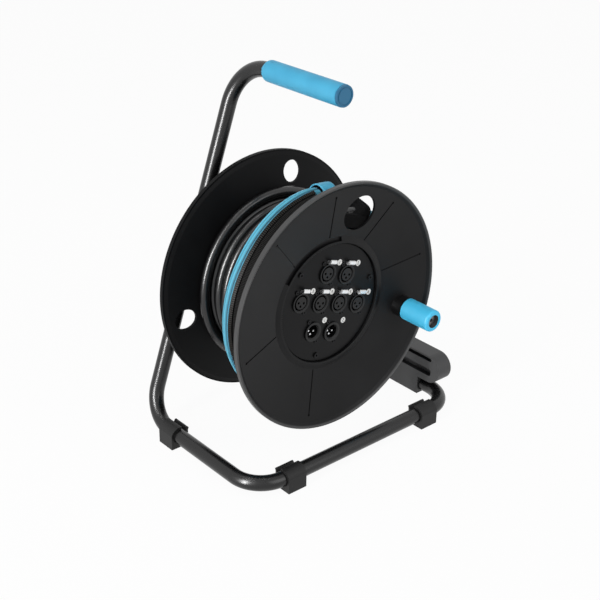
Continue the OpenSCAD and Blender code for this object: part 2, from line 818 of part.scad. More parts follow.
// The round hollow of a shell, with a bevelled mouth
module shell_hollow(r, bevel, y_end) {
    about_y() rotate_extrude() polygon([
        [0, face_y - 1], [r + bevel, face_y - 1], [r + bevel, face_y],
        [r, face_y + bevel], [r, y_end], [0, y_end]]);
}

module female_shell(k) {
    drum() at_connector(female_at[k]) color("#19191a") difference() {
        shell_blank();
        shell_screw_holes();
        shell_hollow(socket_d / 2, mouth, socket_floor);
        rod_y(socket_floor - 1, body_back + 1, insert_d / 2 - 0.8 + fit);
        rod_y(socket_floor + 3, body_back + 1, socket_d / 2);
        translate([-tab_w / 2 - gap, seat_y - 1, tab_z - gap])
            cube([tab_w + gap * 2, plate_t + 2, plate_h]);
    }
}

module female_insert(k) {
    drum() at_connector(female_at[k]) color("#101011") difference() {
        union() {
            rod_y(face_y + insert_in, socket_floor, insert_d / 2);
            rod_y(socket_floor, body_back + 1, insert_d / 2 - 0.8);
        }
        for (c = contact_spots) translate([c[0], 0, c[1]] * contact_ring) {
            rod_y(face_y, contact_y + 1, pin_d / 2 + 0.35);
            rod_y(contact_y - fit, body_back + 2, pin_d / 2 + 0.5 + fit);
        }
    }
}

module push_tab(k) {
    drum() at_connector(female_at[k]) color("#d6d8da")
        along_x(-tab_w / 2, tab_w) polygon([
            [face_y - tab_proud, tab_head_z[0]], [face_y - tab_proud, tab_head_z[1] - 1],
            [face_y - tab_proud + 1, tab_head_z[1]],
            [face_y - tab_proud + tab_head_t, tab_head_z[1]],
            [face_y - tab_proud + tab_head_t, tab_z + tab_stem_t],
            [plate_back - gap, tab_z + tab_stem_t],
            [plate_back - gap, tab_z],
            [face_y - tab_proud + tab_head_t, tab_z]]);
}

module male_shell(k) {
    drum() at_connector(male_at[k]) color("#19191a") difference() {
        shell_blank();
        shell_screw_holes();
        shell_hollow(male_d / 2, male_mouth, body_back + 1);
    }
}

module male_insert(k) {
    drum() at_connector(male_at[k]) color("#101011") difference() {
        rod_y(socket_floor, body_back, male_d / 2 - fit);
        for (c = contact_spots) translate([c[0], 0, c[1]] * contact_ring)
            rod_y(socket_floor - 1, body_back + 1, pin_d / 2 + fit);
    }
}

module contact_pins() {
    drum() color("#c9ccd0") for (p = male_at, c = contact_spots)
        at_connector(p) translate([c[0], 0, c[1]] * contact_ring)
            rod_y(face_y + pin_recess, body_back + 4, pin_d / 2);
}

module contact_sockets() {
    drum() color("#c7a85a") for (p = female_at, c = contact_spots)
        at_connector(p) translate([c[0], 0, c[1]] * contact_ring) difference() {
            rod_y(contact_y, body_back + 4, pin_d / 2 + 0.5);
            rod_y(contact_y - 1, socket_floor, pin_d / 2 + fit);
        }
}

// Screwed into the barrel's wall, where the multicore's inner end enters
module cable_gland() {
    drum() at_angle(gland_angle, 0) translate([0, gland_y, 0]) color("#1c1c1c") difference() {
        rotate([0, 90, 0]) union() {
            translate([0, 0, barrel_in - 1]) cylinder(h = barrel_wall + 0.6, r = 8);
            translate([0, 0, barrel_in - 6]) cylinder(h = 5, r = 12, $fn = 6);
            translate([0, 0, barrel_in - 14]) cylinder(h = 8.5, r = 9.5);
        }
        rotate([0, 90, 0]) cylinder(h = barrel_r + 5, r = cable_r);
    }
}

// The multicore's inner end, fanned out to the connectors' backs
module wiring_loom() {
    ring_r = 38;
    ring_y0 = body_back + loom_gap;
    lead_r = 3;
    drum() color("#191919") union() {
        translate([0, ring_y0, 0]) about_y() rotate_extrude()
            translate([ring_r, 0]) circle(5);
        at_angle(gland_angle, 0) translate([0, gland_y, 0]) rotate([0, 90, 0])
            translate([0, 0, ring_r]) cylinder(h = barrel_r - ring_r, r = cable_r - fit);
        at_angle(gland_angle, ring_r) rod_y(ring_y0, gland_y + cable_r - fit, 5);
        for (p = all_at) {
            spot = [p[0] * pitch_x, p[1] * pitch_z];
            toward = unit(spot);
            at_connector(p) rod_y(body_back + 4, ring_y0 + lead_r, lead_r);
            onto([0, 1, 0], [toward[1], 0, -toward[0]], -[toward[0], 0, toward[1]],
                [spot[0], ring_y0, spot[1]])
                translate([0, 0, min(0, norm(spot) - ring_r)])
                    cylinder(h = abs(norm(spot) - ring_r), r = lead_r);
        }
    }
}

// --------------------------------------------------------------- winding

// Turns that the cable has stepped over after winding through an angle
function wind_steps(a) = let (k = floor((a - step_from) / 360))
    min(layer_turns, k + smooth((a - step_from - k * 360) / step_turn));
// The first turn climbs on top of itself, and leaves that place as it steps over
function wind_rise(a) = a < step_from ? smooth((a - climb_from) / climb_turn)
    : sqrt(max(0, 1 - pow(min(1, wind_steps(a)), 2)));
// Place of the cable's centre line after winding through an angle, in the
// drum's own axes but at rest angles, so the drum's turn is taken off again
function wind_y(a) = a <= sleeve_start
    ? mix(wind_y0 - turn_pitch * max(0, wind_steps(a)), sleeve_y[0],
          smooth((a - layer_end) / (sleeve_start - layer_end)))
    : mix(sleeve_y[0], sleeve_y[1], smooth((a - sleeve_start) / sleeve_settle));
function wind_r(a) = a <= sleeve_start
    ? mix(layer_r + turn_pitch * wind_rise(a), sleeve_ring - sleeve_in,
          smooth((a - layer_end) / (sleeve_start - layer_end)))
    : sleeve_ring - sleeve_in * (1 - smooth((a - sleeve_start) / sleeve_settle));
function wind_dir(a) = [cos(drum_turn - a), 0, sin(drum_turn - a)];
function wind_at(a) = wind_r(a) * wind_dir(a) + [0, wind_y(a), 0];
function wind_tangent(a) = unit(wind_at(a + 0.5) - wind_at(a - 0.5));

// A ring's frame: its centre, tangent and outward direction
function frame_at(a) = let (t = wind_tangent(a), n0 = wind_dir(a))
    [wind_at(a), t, unit(n0 - t * (n0 * t))];
function slid(f, s) = [f[0] + f[1] * s, f[1], f[2]];

// Points of a closed section, given as [across, outwards] pairs, on a frame
function placed(f, section) = [for (p = section)
    f[0] + cross(f[2], f[1]) * p[0] + f[2] * p[1]];

// One closed skin through rings that all have the same number of points
module skin(rings) {
    n = len(rings[0]);
    last = len(rings) - 1;
    points = [for (ring = rings) for (p = ring) p];
    sides = [for (i = [0 : last - 1]) for (j = [0 : n - 1]) for (half = [0, 1])
        let (a = i * n + j, b = i * n + (j + 1) % n)
        half == 0 ? [a, b, b + n] : [a, b + n, a + n]];
    ends = [for (j = [1 : n - 2]) each [[0, j + 1, j], [last * n, last * n + j, last * n + j + 1]]];
    polyhedron(points, concat(sides, ends), convexity = 10);
}

function round_section(r, sides, phase = 0) =
    [for (j = [0 : sides - 1]) r * [cos(phase + j * 360 / sides), sin(phase + j * 360 / sides)]];

rings_a_loop = 24;
layer_steps = floor((sleeve_start - 8 - wind_from) * rings_a_loop / 360);
layer_frames = concat(
    [for (i = [0 : layer_steps]) frame_at(wind_from + i * 360 / rings_a_loop)],
    [slid(frame_at(sleeve_start), -cable_d), frame_at(sleeve_start)]);

module winding_outer_layer() {
    drum() color("#1f1f20") skin([for (f = layer_frames)
        placed(f, round_section(cable_r, 6))]);
}

// The inner layer, with the cable's climb out of it beside the rear web
module winding_core() {
    climb_r = 35;
    lean = atan(slope) * 0.5;
    start = frame_at(wind_from);
    outward = start[2] * cos(lean) + [0, sin(lean), 0];
    drum() color("#1c1c1d") union() {
        about_y() rotate_extrude($fn = 96) polygon([
            [barrel_r + gap, hub_face + 1], [core_r - 4, hub_face + 1],
            [core_r, hub_face + 5], [core_r, rear_face - 4],
            [core_r - 4, rear_face - gap], [barrel_r + gap, rear_face - gap]]);
        onto(outward, -start[1], cross(outward, -start[1]), start[0] - outward * climb_r)
            rotate_extrude(angle = 40) translate([climb_r, 0]) circle(cable_r);
    }
}

sleeve_steps = 40;
function sleeve_angle(i) = mix(sleeve_start, sleeve_end, i / sleeve_steps);
// Radius along the sleeve: it swells from the cable and draws in at its mouth
function sleeve_swell(i) = mix(cable_r + 1.5, sleeve_r, smooth(i / 4))
    - (sleeve_r - mouth_r) * smooth((i - sleeve_steps + 7) / 4);

module fanout_sleeve() {
    drum() color("#58bfee") skin([for (i = [0 : sleeve_steps])
        placed(frame_at(sleeve_angle(i)), round_section(sleeve_swell(i), 12, seam - 15))]);
}

// The zip lies on the flat of the sleeve that faces forwards and outwards
module sleeve_zip() {
    zip_t = 1.6;
    drum() color("#121212") skin([for (i = [4 : sleeve_steps - 6])
        let (r = sleeve_swell(i) + gap / 2)
        placed(frame_at(sleeve_angle(i)), [
            r * [cos(seam - 13), sin(seam - 13)],
            (r + zip_t) * [cos(seam - 11), sin(seam - 11)],
            (r + zip_t) * [cos(seam + 11), sin(seam + 11)],
            r * [cos(seam + 13), sin(seam + 13)]])]);
}

// A closed band round the sleeve's free end, standing off it at the top
module sleeve_strap() {
    f = frame_at(strap_at);
    drum() color("#6fc7f0")
        onto(f[2], cross(f[1], f[2]), f[1], f[0] - f[1] * strap_w / 2)
            translate([strap_r - mouth_r - 0.6, 0]) linear_extrude(strap_w) difference() {
                circle(strap_r + 1.6);
                circle(strap_r);
            }
}

// ----------------------------------------------------------------- crank

module at_crank() { drum() at_angle(0, crank_r) children(); }

module crank_spindle() {
    head_y = crank_y - crank_l + recess_depth;
    at_crank() color("#9b9ea2") difference() {
        union() {
            rod_y(head_y - gap, crank_seat + 6, spindle_r);
            rod_y(head_y - gap - 3.4, head_y - gap, spindle_r + 2);
        }
        rod_y(head_y - gap - 4, head_y - gap - 1, 2.6, 6);
    }
}

module crank_nut() {
    at_crank() color("#8f9296") difference() {
        rod_y(crank_seat, crank_seat + 5, 9, 6);
        rod_y(crank_seat - 1, crank_seat + 6, spindle_r + fit / 2);
    }
}

module crank_grip() {
    r = crank_d / 2;
    edge = 3;
    at_crank() color("#58bfee") translate([0, crank_y - crank_l, 0]) about_y()
        rotate_extrude() difference() {
            union() {
                translate([0, edge]) square([r, crank_l - edge * 1.5]);
                square([r - edge, crank_l]);
                translate([r - edge, edge]) circle(edge);
                translate([r - edge, crank_l - edge]) circle(edge);
            }
            translate([-1, -1]) square([spindle_r + run_play + 1, crank_l + 2]);
            translate([-1, -1]) square([recess_r + 1, recess_depth + 1]);
        }
}

// Least distance between the outer layer and itself a turn later
least_gap = min([for (a = [wind_from : 15 : sleeve_start - 360],
    b = [a + 345 : 1 : min(a + 375, sleeve_start)])
    norm(wind_at(a) - wind_at(b)) - cable_d]);
echo(winding_least_gap = least_gap);

frame_tube();
carry_grip();
grip_end_cap();
foot_rear_left();
foot_front_left();
foot_front_right();
bearing_bracket();
upright_bolts();
leg_screws();
axle();
thrust_washer();
end_washer();
axle_bolt();
axle_nut();
front_flange();
rear_flange();
core_barrel();
bush_front();
bush_rear();
front_barrel_screws();
rear_barrel_screws();
connector_panel();
panel_screws();
connector_screws();
female_shell(0);  // female_shell_1
female_shell(1);  // female_shell_2
female_shell(2);  // female_shell_3
female_shell(3);  // female_shell_4
female_shell(4);  // female_shell_5
female_shell(5);  // female_shell_6
female_insert(0);  // female_insert_1
female_insert(1);  // female_insert_2
female_insert(2);  // female_insert_3
female_insert(3);  // female_insert_4
female_insert(4);  // female_insert_5
female_insert(5);  // female_insert_6
push_tab(0);  // push_tab_1
push_tab(1);  // push_tab_2
push_tab(2);  // push_tab_3
push_tab(3);  // push_tab_4
push_tab(4);  // push_tab_5
push_tab(5);  // push_tab_6
male_shell(0);  // male_shell_1
male_shell(1);  // male_shell_2
male_insert(0);  // male_insert_1
male_insert(1);  // male_insert_2
contact_pins();
contact_sockets();
cable_gland();
wiring_loom();
winding_core();
winding_outer_layer();
fanout_sleeve();
sleeve_zip();
sleeve_strap();
crank_spindle();
crank_nut();
crank_grip();
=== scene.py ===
"""Looks of a portable audio multicore drum: the tube stand, the moulded spool
with its connector panel, the wound multicore and its zipped fan-out sleeve."""

import json
import math

import bpy
import numpy as np
from mathutils import Matrix, Vector


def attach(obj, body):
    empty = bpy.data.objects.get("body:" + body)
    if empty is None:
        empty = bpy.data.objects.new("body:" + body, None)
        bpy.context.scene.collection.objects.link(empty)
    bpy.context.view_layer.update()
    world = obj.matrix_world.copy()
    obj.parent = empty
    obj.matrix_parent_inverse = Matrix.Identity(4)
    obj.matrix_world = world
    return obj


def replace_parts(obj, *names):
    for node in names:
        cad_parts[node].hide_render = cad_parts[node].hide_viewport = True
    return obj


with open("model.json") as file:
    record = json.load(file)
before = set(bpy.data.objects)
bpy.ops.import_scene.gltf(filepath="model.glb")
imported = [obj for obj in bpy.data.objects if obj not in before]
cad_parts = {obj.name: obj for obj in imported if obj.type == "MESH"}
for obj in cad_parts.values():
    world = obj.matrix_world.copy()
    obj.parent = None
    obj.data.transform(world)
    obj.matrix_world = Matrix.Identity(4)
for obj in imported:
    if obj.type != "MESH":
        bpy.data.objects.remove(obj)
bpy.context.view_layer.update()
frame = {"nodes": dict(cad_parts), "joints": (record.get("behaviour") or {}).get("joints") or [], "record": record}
joints = {j["name"]: j for j in frame["joints"]}

# Lengths are in mm and angles in degrees. Depths (names that end in _Y) are counted back
# from the drum's front rim, which is at FRONT_RIM_Y in the shared frame.
AXIS = np.array(joints["drum_spin"]["pos_m"]) * 1000
CRANK = np.array(joints["crank_spin"]["pos_m"]) * 1000
FRONT_RIM_Y = -78.7
DRUM_TURN = 17.3
# Radius beyond which the spool's rim takes a painted highlight
RIM_HIGHLIGHT_R = 151.0

# Connector panel
PANEL_Y = 21.0
PITCH_X, PITCH_Z = 31.6, 36.5
FEMALE_AT = ((-0.5, 1), (0.5, 1), (-1.5, 0), (-0.5, 0), (0.5, 0), (1.5, 0))
MALE_AT = ((-0.5, -1), (0.5, -1))
DISC_R, DISC_X, DISC_Z = 3.8, 15.8, 14.4
DISC_HIGH, DIGIT_HIGH, DIGIT_SIZE = 0.14, 0.16, 5.6

# Wound multicore: places along it are winding angles, clockwise seen from the front
CABLE_R, LAYER_R = 6.1, 95.5
UNDER_CABLE_R, UNDER_R = 5.6, 85.9
TURN_PITCH, REAR_TURN_Y = 12.75, 123.0
UNDER_FROM, CLIMB_FROM, CLIMB_OVER = -2460.0, -290.0, 45.0
MOUNT_FROM, MOUNT_OVER = 40.0, 35.0
STEP_FROM, STEP_OVER, STEPS = 290.0, 110.0, 7
LAYER_END = 2790.0

# Fan-out sleeve, its mouth beside the winding and its strap
SLEEVE_START, SLEEVE_END = 2818.0, 3163.0
SLEEVE_RING, SLEEVE_Y = 119.5, 48.0
MOUTH_DROP, MOUTH_Y = 8.0, 34.0
NECK_R, SLEEVE_R, END_R = 7.6, 16.5, 13.2
SWELL_OVER = 60.0
CLOTH_THICK = 1.2
STRAP_AT, STRAP_R = SLEEVE_END - 8.2, 15.26

# Section angles on the sleeve grow from the drum's back towards outwards
TAPE_FROM, TAPE_TO = 107.0, 165.0
TEETH_AT, CORD_AT = 117.0, 141.0
STITCHES_AT = (102, 170)
ZIP_FROM, ZIP_TO = SLEEVE_START + 16, STRAP_AT - 8.5
# Creases beside the zip: section angle, half width, depth
CREASES = ((64, 4, 0.5), (79, 3.5, 1.2), (96, 5, 1.6), (128, 3, 0.6))
# Soft waves of the cloth: count round the sleeve, drift along it, start, depth
WAVES = ((3, 0.9, 0, 0.45), (5, -1.3, 60, 0.34), (9, 2.1, 20, 0.26))

# Lamps, which aim at a point inside the drum: name, place in metres, width, height, watts.
# Strips at the left and over the top draw a long streak on every tube and cable turn;
# the sheen strip is seen in reflections only.
LAMPS = (
    ("left_strip", (-2.2, -0.3, 0.75), 0.1, 1.6, 22),
    ("key_strip", (-1.75, -0.1, 1.95), 0.08, 1.6, 13),
    ("top_strip", (-0.3, 0.3, 2.6), 0.12, 1.6, 5),
    ("fill", (0.4, -2.3, 1.3), 1.8, 1.8, 20),
    ("left_sheen", (-2.2, -0.3, 0.75), 0.1, 1.6, 90),
)
LAMP_TARGET = (0, 0, 0.2)
FLOOR_HALF = 6


# ------------------------------------------------------------------ camera

EYE = (-874.211, -994.011, 827.416)
LOOK_RIGHT = (0.75970, -0.65012, 0.01441)
LOOK_FORWARD = (0.58743, 0.67660, -0.44400)


def main_camera():
    """A 71.6 mm lens on a 36 mm frame, 1.4 m from the drum, from its left and above."""
    data = bpy.data.cameras.new("camera")
    data.sensor_width = 36.0
    data.lens = 71.569
    data.clip_start = 0.05
    camera = bpy.data.objects.new("camera", data)
    bpy.context.scene.collection.objects.link(camera)
    right = Vector(LOOK_RIGHT).normalized()
    forward = Vector(LOOK_FORWARD).normalized()
    up = right.cross(forward).normalized()
    right = forward.cross(up).normalized()
    basis = Matrix((right, up, -forward)).transposed().to_4x4()
    basis.translation = Vector(EYE) / 1000
    camera.matrix_world = basis
    bpy.context.scene.camera = camera


# --------------------------------------------------------------- materials

def srgb(hex_colour):
    """Linear RGBA of an sRGB hex colour."""
    parts = [int(hex_colour[i : i + 2], 16) / 255 for i in (1, 3, 5)]
    return tuple(
        c / 12.92 if c <= 0.04045 else ((c + 0.055) / 1.055) ** 2.4 for c in parts
    ) + (1.0,)


def add(tree, kind, inputs=None, **settings):
    """Adds a shader node; an input's value is a number, a colour or an output to link."""
    made = tree.nodes.new(kind)
    for key, value in settings.items():
        setattr(made, key, value)
    for key, value in (inputs or {}).items():
        if isinstance(value, bpy.types.NodeSocket):
            tree.links.new(value, made.inputs[key])
        else:
            made.inputs[key].default_value = value
    return made


def material(name, base, roughness, **sockets):
    """A Principled material with its tree and shader; colours are sRGB hex."""
    made = bpy.data.materials.new(name)
    made.use_nodes = True
    tree = made.node_tree
    tree.nodes.clear()
    shader = add(tree, "ShaderNodeBsdfPrincipled")
    shader.inputs["Base Color"].default_value = srgb(base)
    shader.inputs["Roughness"].default_value = roughness
    for key, value in sockets.items():
        shader.inputs[key.replace("_", " ")].default_value = value
    add(tree, "ShaderNodeOutputMaterial", {"Surface": shader.outputs[0]})
    return made, tree, shader


def place_of(tree):
    """Object coordinates, which are metres in the shared frame."""
    return add(tree, "ShaderNodeTexCoord").outputs["Object"]


def moulded_grain(tree, shader, grain_mm, depth_mm, strength):
    """Spark-eroded mould grain or orange peel: fine noise as bump."""
    noise = add(tree, "ShaderNodeTexNoise", {
        "Vector": place_of(tree), "Scale": 1000 / grain_mm, "Detail": 3.0, "Roughness": 0.6})
    bump = add(tree, "ShaderNodeBump", {
        "Height": noise.outputs["Fac"], "Distance": depth_mm / 1000, "Strength": strength})
    tree.links.new(bump.outputs["Normal"], shader.inputs["Normal"])
    return noise


def mottled(tree, shader, dark, light, patch_mm):
    """Slow variation between two close colours, as rubbed plastic shows."""
    noise = add(tree, "ShaderNodeTexNoise",
                {"Vector": place_of(tree), "Scale": 1000 / patch_mm, "Detail": 2.0})
    ramp = add(tree, "ShaderNodeValToRGB", {"Fac": noise.outputs["Fac"]})
    ramp.color_ramp.elements[0].position = 0.32
    ramp.color_ramp.elements[1].position = 0.68
    ramp.color_ramp.elements[0].color = srgb(dark)
    ramp.color_ramp.elements[1].color = srgb(light)
    tree.links.new(ramp.outputs["Color"], shader.inputs["Base Color"])
    return noise


def rough_range(tree, shader, source, low, high):
    """Roughness that follows a pattern between two values."""
    spread = add(tree, "ShaderNodeMapRange", {
        "Value": source, "From Min": 0.3, "From Max": 0.7, "To Min": low, "To Max": high})
    tree.links.new(spread.outputs["Result"], shader.inputs["Roughness"])


def rim_highlight(tree, shader, start_mm, added, low, high):
    """Painted highlight on the rim: the plastic beyond a radius round the drum's axis is
    painted lighter, and its specular level is higher."""
    off = add(tree, "ShaderNodeVectorMath",
              {0: place_of(tree), 1: tuple(AXIS / 1000)}, operation="SUBTRACT")
    flat = add(tree, "ShaderNodeVectorMath", {0: off.outputs[0], 1: (1, 0, 1)},
               operation="MULTIPLY")
    radius = add(tree, "ShaderNodeVectorMath", {0: flat.outputs[0]}, operation="LENGTH")
    reach = {"Value": radius.outputs["Value"], "From Min": start_mm / 1000,
             "From Max": (start_mm + 1.5) / 1000}
    # Painted highlight: lighter colour added on the rim
    painted_highlight = add(tree, "ShaderNodeMapRange", {**reach, "To Min": 0.0, "To Max": added})
    base = shader.inputs["Base Color"].links[0].from_socket
    lit = add(tree, "ShaderNodeVectorMath", {0: base, 1: painted_highlight.outputs["Result"]},
              operation="ADD")
    tree.links.new(lit.outputs[0], shader.inputs["Base Color"])
    shine = add(tree, "ShaderNodeMapRange", {**reach, "To Min": low, "To Max": high})
    tree.links.new(shine.outputs["Result"], shader.inputs["Specular IOR Level"])


def powder_coated_steel():
    """Gloss black powder coat on steel, with faint orange peel."""
    made, tree, shader = material("powder_coated_steel", "#0A0A0B", 0.28,
                                  Specular_IOR_Level=0.46)
    noise = moulded_grain(tree, shader, 1.6, 0.012, 0.2)
    rough_range(tree, shader, noise.outputs["Fac"], 0.25, 0.31)
    return made


def blue_rubber(name, dark, light):
    """Moulded blue thermoplastic rubber with a fine matt grain and a slight bloom."""
    made, tree, shader = material(name, light, 0.5)
    mottled(tree, shader, dark, light, 22)
    moulded_grain(tree, shader, 0.7, 0.05, 0.5)
    return made


def blue_cap_plastic():
    """The same blue, darker, as a glossy moulded disc."""
    made, tree, shader = material("blue_cap_plastic", "#1F6E96", 0.35)
    moulded_grain(tree, shader, 0.8, 0.02, 0.4)
    return made


def moulded_plastic(name, dark, light, roughness, grain_mm=0.6, specular=0.3, rim=False):
    """Plastic from a spark-eroded mould: satin, with faint flow patches."""
    made, tree, shader = material(name, dark, roughness, Specular_IOR_Level=specular)
    patches = mottled(tree, shader, dark, light, 60)
    moulded_grain(tree, shader, grain_mm, 0.04, 0.5)
    rough_range(tree, shader, patches.outputs["Fac"], roughness - 0.04, roughness + 0.05)
    # The rim takes a painted highlight
    if rim:
        rim_highlight(tree, shader, RIM_HIGHLIGHT_R, 0.018, specular, 0.65)
    return made


def coated_diecast():
    """Black coated zinc die-casting of the connector shells: smooth and fairly glossy."""
    made, tree, shader = material("coated_diecast_zinc", "#121213", 0.38,
                                  Specular_IOR_Level=0.3)
    moulded_grain(tree, shader, 0.5, 0.015, 0.4)
    return made


def plated_metal(name, base, roughness):
    """Bare or plated metal, with fine drawing streaks of 0.4 mm in its roughness."""
    made, tree, shader = material(name, base, roughness, Metallic=1.0)
    stretched = add(tree, "ShaderNodeMapping",
                    {"Vector": place_of(tree), "Scale": (1.0, 0.12, 1.0)})
    noise = add(tree, "ShaderNodeTexNoise",
                {"Vector": stretched.outputs[0], "Scale": 1000 / 0.4, "Detail": 2.0})
    rough_range(tree, shader, noise.outputs["Fac"], roughness - 0.08, roughness + 0.1)
    return made


def pvc_jacket():
    """Flexible PVC cable jacket: satin black, a slight lay ripple and handling bloom."""
    made, tree, shader = material("pvc_cable_jacket", "#101011", 0.26,
                                  Specular_IOR_Level=0.55)
    patches = mottled(tree, shader, "#0D0D0E", "#131314", 35)
    moulded_grain(tree, shader, 2.2, 0.02, 0.15)
    rough_range(tree, shader, patches.outputs["Fac"], 0.22, 0.29)
    return made


def woven(name, dark, light, thread_mm, roughness, sheen=0.25, specular=0.3, painted_light=False):
    """Plain-woven nylon: two crossed thread waves on the piece's UV map, in metres; the
    attribute shade can multiply the colour, for painted shade in the creases and painted light elsewhere."""
    made, tree, shader = material(name, light, roughness, Sheen_Weight=sheen,
                                  Sheen_Roughness=0.4, Specular_IOR_Level=specular)
    uv = add(tree, "ShaderNodeUVMap", uv_map="cloth").outputs["UV"]
    waves = []
    for direction in ("X", "Y"):
        # A Wave texture has one band for every 2 pi / 20 of its scaled length
        wave = add(tree, "ShaderNodeTexWave",
                   {"Vector": uv, "Scale": 2 * math.pi / 20 / (thread_mm / 1000)},
                   wave_type="BANDS", bands_direction=direction, wave_profile="SIN")
        waves.append(wave.outputs["Fac"])
    weave = add(tree, "ShaderNodeMath", {0: waves[0], 1: waves[1]}, operation="MULTIPLY")
    ramp = add(tree, "ShaderNodeValToRGB", {"Fac": weave.outputs[0]})
    ramp.color_ramp.elements[0].color = srgb(dark)
    ramp.color_ramp.elements[1].color = srgb(light)
    ramp.color_ramp.elements[1].position = 0.6
    colour = ramp.outputs["Color"]
    if painted_light:
        # Painted shade and light: the colour times the attribute shade
        shade = add(tree, "ShaderNodeAttribute", attribute_name="shade")
        colour = add(tree, "ShaderNodeVectorMath", {0: colour, 1: shade.outputs["Fac"]},
                     operation="MULTIPLY").outputs[0]
    tree.links.new(colour, shader.inputs["Base Color"])
    bump = add(tree, "ShaderNodeBump",
               {"Height": weave.outputs[0], "Distance": thread_mm / 4000, "Strength": 0.6})
    tree.links.new(bump.outputs["Normal"], shader.inputs["Normal"])
    return made


def plain_moulding(name, base, roughness, specular=0.5):
    """Ink, thread or a tiny moulding: one colour with a grain of half a millimetre."""
    made, tree, shader = material(name, base, roughness, Specular_IOR_Level=specular)
    moulded_grain(tree, shader, 0.5, 0.01, 0.3)
    return made


# ------------------------------------------------------------------ meshes

def link(name, mesh, finish, body):
    """Makes the piece's object, with its finish, and lets it ride on its body."""
    mesh.materials.append(finish)
    made = bpy.data.objects.new(name, mesh)
    bpy.context.scene.collection.objects.link(made)
    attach(made, body)
    return made


def grid_mesh(name, grid, wrap=True, caps=True, shade=None):
    """A mesh on a grid of points in mm: rows run along a path, columns go round it. The
    UV map holds the way along and across in metres; shade is a value for each point of
    the grid, and the ends' middle points take its least."""
    rows, cols = grid.shape[:2]
    across = cols if wrap else cols - 1
    i, j = np.meshgrid(np.arange(rows - 1), np.arange(across), indexing="ij")
    k = (j + 1) % cols
    quads = np.stack([i * cols + j, i * cols + k, (i + 1) * cols + k, (i + 1) * cols + j],
                     -1).reshape(-1, 4)
    faces = quads.tolist()
    points = grid.reshape(-1, 3)
    if caps:
        ends = np.array([grid[0].mean(0), grid[-1].mean(0)])
        points = np.vstack([points, ends])
        first, last = rows * cols, rows * cols + 1
        faces += [[(c + 1) % cols, c, first] for c in range(across)]
        faces += [[(rows - 1) * cols + c, (rows - 1) * cols + (c + 1) % cols, last]
                  for c in range(across)]
    mesh = bpy.data.meshes.new(name)
    mesh.from_pydata((points / 1000).tolist(), [], faces)
    step = np.linalg.norm(np.diff(grid, axis=0), axis=2).mean(1)
    along = np.concatenate([[0], np.cumsum(step)]) / 1000
    ring = grid[rows // 2]
    if wrap:
        ring = np.vstack([ring, ring[:1]])
    step = np.linalg.norm(np.diff(ring, axis=0), axis=1)
    around = np.concatenate([[0], np.cumsum(step)]) / 1000
    u = np.stack([along[i], along[i], along[i + 1], along[i + 1]], -1)
    v = np.stack([around[j], around[j + 1], around[j + 1], around[j]], -1)
    uv = np.stack([u, v], -1).reshape(-1, 2)
    if caps:
        uv = np.vstack([uv, np.zeros(((len(faces) - len(quads)) * 3, 2))])
    layer = mesh.uv_layers.new(name="cloth")
    layer.data.foreach_set("uv", uv.astype(np.float32).ravel())
    if shade is not None:
        held = mesh.attributes.new("shade", "FLOAT", "POINT")
        values = np.concatenate([shade.ravel(), np.full(len(points) - shade.size, shade.min())])
        held.data.foreach_set("value", values.astype(np.float32))
    mesh.shade_smooth()
    mesh.update()
    return mesh


def smooth(t):
    """Eases from 0 to 1."""
    t = np.clip(t, 0, 1)
    return t * t * (3 - 2 * t)


def round_axis(angle, radius, y):
    """Points at an angle (degrees, from +X towards +Z) and radius round the drum's axis;
    y is counted back from the front rim."""
    a = np.radians(angle)
    return np.stack([AXIS[0] + radius * np.cos(a), FRONT_RIM_Y + y + 0 * a,
                     AXIS[2] + radius * np.sin(a)], -1)


def path_frames(points):
    """Tangents of a path, and two directions square to it: outwards from the drum's
    axis, and across."""
    tangent = np.gradient(points, axis=0)
    tangent /= np.linalg.norm(tangent, axis=1, keepdims=True)
    out = points - np.array([AXIS[0], 0, AXIS[2]])
    out[:, 1] = 0
    out -= tangent * (out * tangent).sum(1, keepdims=True)
    out /= np.linalg.norm(out, axis=1, keepdims=True)
    return tangent, out, np.cross(out, tangent)


def swept(points, radius, angle):
    """Round or swollen tube on a path: radius varies along it (rows) and round it
    (columns, one for each section angle)."""
    _, out, across = path_frames(points)
    c, s = np.cos(np.radians(angle)), np.sin(np.radians(angle))
    return (points[:, None, :] + across[:, None, :] * (radius * c)[..., None]
            + out[:, None, :] * (radius * s)[..., None])


# ------------------------------------------------------------- wound cable

def steps_over(a):
    """Turns that the cable has stepped over at a winding angle: one in each turn, within
    110 degrees on the far side of the drum, up to the seventh."""
    k = np.floor((a - STEP_FROM) / 360)
    return np.minimum(STEPS, k + smooth((a - STEP_FROM - k * 360) / STEP_OVER))


